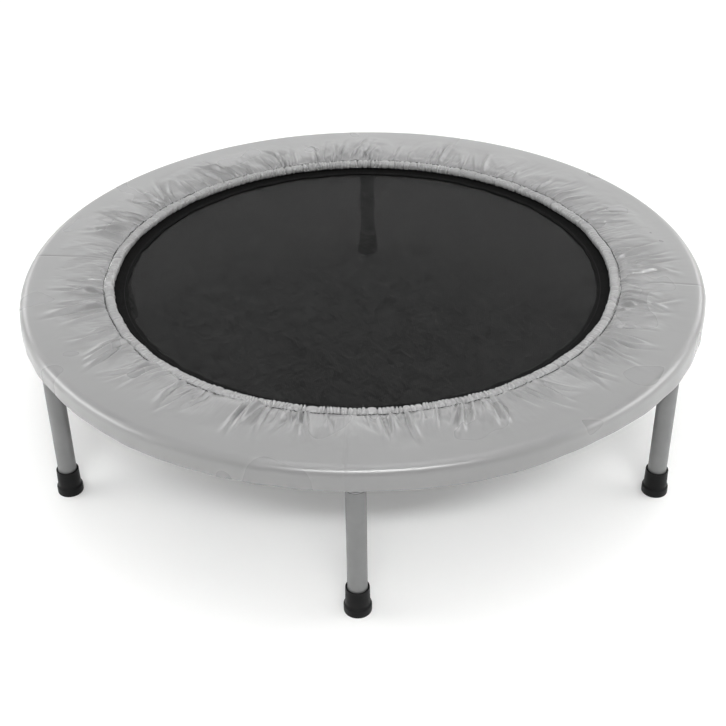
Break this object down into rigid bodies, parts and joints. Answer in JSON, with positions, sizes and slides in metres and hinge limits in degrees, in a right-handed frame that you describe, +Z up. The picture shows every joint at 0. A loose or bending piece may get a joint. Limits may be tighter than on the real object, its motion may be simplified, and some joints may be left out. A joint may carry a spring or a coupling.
{
  "type": "mini trampoline",
  "caption": "Round fitness trampoline: steel ring on screw-in legs, woven mat hung on extension springs, gathered padded cover over the springs.",
  "frame": {"origin": "on the floor under the middle of the mat", "axes": "+Z up; -Y towards the front leg; +X to the right of someone looking along +Y from the front leg"},
  "size_m": [0.965, 0.965, 0.229],
  "materials": {
    "painted_steel": "satin grey powder coat",
    "zinc_steel": "bright zinc plate",
    "spring_steel": "zinc-plated spring wire",
    "black_rubber": "moulded, soft sheen",
    "mesh_fabric": "open woven polypropylene",
    "hem_webbing": "matt woven webbing",
    "pad_vinyl": "satin grey PVC sheet",
    "pad_foam": "closed-cell foam",
    "backing_fabric": "matt non-woven cloth"
  },
  "bodies": {
    "frame": {"frame_ring": "painted_steel", "insert_front": "zinc_steel", "insert_front_right": "zinc_steel", "insert_back_right": "zinc_steel", "insert_back": "zinc_steel", "insert_back_left": "zinc_steel", "insert_front_left": "zinc_steel", "spring_01": "spring_steel", "spring_02": "spring_steel", "spring_03": "spring_steel", "spring_04": "spring_steel", "spring_05": "spring_steel", "spring_06": "spring_steel", "spring_07": "spring_steel", "spring_08": "spring_steel", "spring_09": "spring_steel", "spring_10": "spring_steel", "spring_11": "spring_steel", "spring_12": "spring_steel", "spring_13": "spring_steel", "spring_14": "spring_steel", "spring_15": "spring_steel", "spring_16": "spring_steel", "spring_17": "spring_steel", "spring_18": "spring_steel", "spring_19": "spring_steel", "spring_20": "spring_steel", "spring_21": "spring_steel", "spring_22": "spring_steel", "spring_23": "spring_steel", "spring_24": "spring_steel", "spring_25": "spring_steel", "spring_26": "spring_steel", "spring_27": "spring_steel", "spring_28": "spring_steel", "spring_29": "spring_steel", "spring_30": "spring_steel", "pad_backing": "backing_fabric", "pad_foam": "pad_foam", "pad_cover": "pad_vinyl"},
    "mat": {"mat": "mesh_fabric", "mat_hem": "hem_webbing"},
    "washer_front": {"washer_front": "zinc_steel"},
    "leg_front": {"leg_front": "painted_steel", "foot_front": "black_rubber"},
    "washer_front_right": {"washer_front_right": "zinc_steel"},
    "leg_front_right": {"leg_front_right": "painted_steel", "foot_front_right": "black_rubber"},
    "washer_back_right": {"washer_back_right": "zinc_steel"},
    "leg_back_right": {"leg_back_right": "painted_steel", "foot_back_right": "black_rubber"},
    "washer_back": {"washer_back": "zinc_steel"},
    "leg_back": {"leg_back": "painted_steel", "foot_back": "black_rubber"},
    "washer_back_left": {"washer_back_left": "zinc_steel"},
    "leg_back_left": {"leg_back_left": "painted_steel", "foot_back_left": "black_rubber"},
    "washer_front_left": {"washer_front_left": "zinc_steel"},
    "leg_front_left": {"leg_front_left": "painted_steel", "foot_front_left": "black_rubber"}
  },
  "joints": [
    {"name": "mat_bounce", "type": "slide", "parent": "frame", "child": "mat", "axis": [0, 0, 1], "range_m": [-0.06, 0], "stiffness_N_per_m": 13000, "deforming": ["spring_01", "spring_02", "spring_03", "spring_04", "spring_05", "spring_06", "spring_07", "spring_08", "spring_09", "spring_10", "spring_11", "spring_12", "spring_13", "spring_14", "spring_15", "spring_16", "spring_17", "spring_18", "spring_19", "spring_20", "spring_21", "spring_22", "spring_23", "spring_24", "spring_25", "spring_26", "spring_27", "spring_28", "spring_29", "spring_30"]},
    {"name": "thread_advance_front", "type": "slide", "parent": "frame", "child": "washer_front", "axis": [0, 0, -1], "range_m": [0, 0.012]},
    {"name": "leg_screw_front", "type": "hinge", "parent": "washer_front", "child": "leg_front", "pos_m": [0, -0.465, 0.19], "axis": [0, 0, -1], "range_deg": [0, 2880]},
    {"name": "thread_advance_front_right", "type": "slide", "parent": "frame", "child": "washer_front_right", "axis": [0, 0, -1], "range_m": [0, 0.012]},
    {"name": "leg_screw_front_right", "type": "hinge", "parent": "washer_front_right", "child": "leg_front_right", "pos_m": [0.4027, -0.2325, 0.19], "axis": [0, 0, -1], "range_deg": [0, 2880]},
    {"name": "thread_advance_back_right", "type": "slide", "parent": "frame", "child": "washer_back_right", "axis": [0, 0, -1], "range_m": [0, 0.012]},
    {"name": "leg_screw_back_right", "type": "hinge", "parent": "washer_back_right", "child": "leg_back_right", "pos_m": [0.4027, 0.2325, 0.19], "axis": [0, 0, -1], "range_deg": [0, 2880]},
    {"name": "thread_advance_back", "type": "slide", "parent": "frame", "child": "washer_back", "axis": [0, 0, -1], "range_m": [0, 0.012]},
    {"name": "leg_screw_back", "type": "hinge", "parent": "washer_back", "child": "leg_back", "pos_m": [0, 0.465, 0.19], "axis": [0, 0, -1], "range_deg": [0, 2880]},
    {"name": "thread_advance_back_left", "type": "slide", "parent": "frame", "child": "washer_back_left", "axis": [0, 0, -1], "range_m": [0, 0.012]},
    {"name": "leg_screw_back_left", "type": "hinge", "parent": "washer_back_left", "child": "leg_back_left", "pos_m": [-0.4027, 0.2325, 0.19], "axis": [0, 0, -1], "range_deg": [0, 2880]},
    {"name": "thread_advance_front_left", "type": "slide", "parent": "frame", "child": "washer_front_left", "axis": [0, 0, -1], "range_m": [0, 0.012]},
    {"name": "leg_screw_front_left", "type": "hinge", "parent": "washer_front_left", "child": "leg_front_left", "pos_m": [-0.4027, -0.2325, 0.19], "axis": [0, 0, -1], "range_deg": [0, 2880]}
  ],
  "couplings": [
    {"joint": "leg_screw_front", "follows": "thread_advance_front", "rad_per_m": 4188.8},
    {"joint": "leg_screw_front_right", "follows": "thread_advance_front_right", "rad_per_m": 4188.8},
    {"joint": "leg_screw_back_right", "follows": "thread_advance_back_right", "rad_per_m": 4188.8},
    {"joint": "leg_screw_back", "follows": "thread_advance_back", "rad_per_m": 4188.8},
    {"joint": "leg_screw_back_left", "follows": "thread_advance_back_left", "rad_per_m": 4188.8},
    {"joint": "leg_screw_front_left", "follows": "thread_advance_front_left", "rad_per_m": 4188.8}
  ]
}
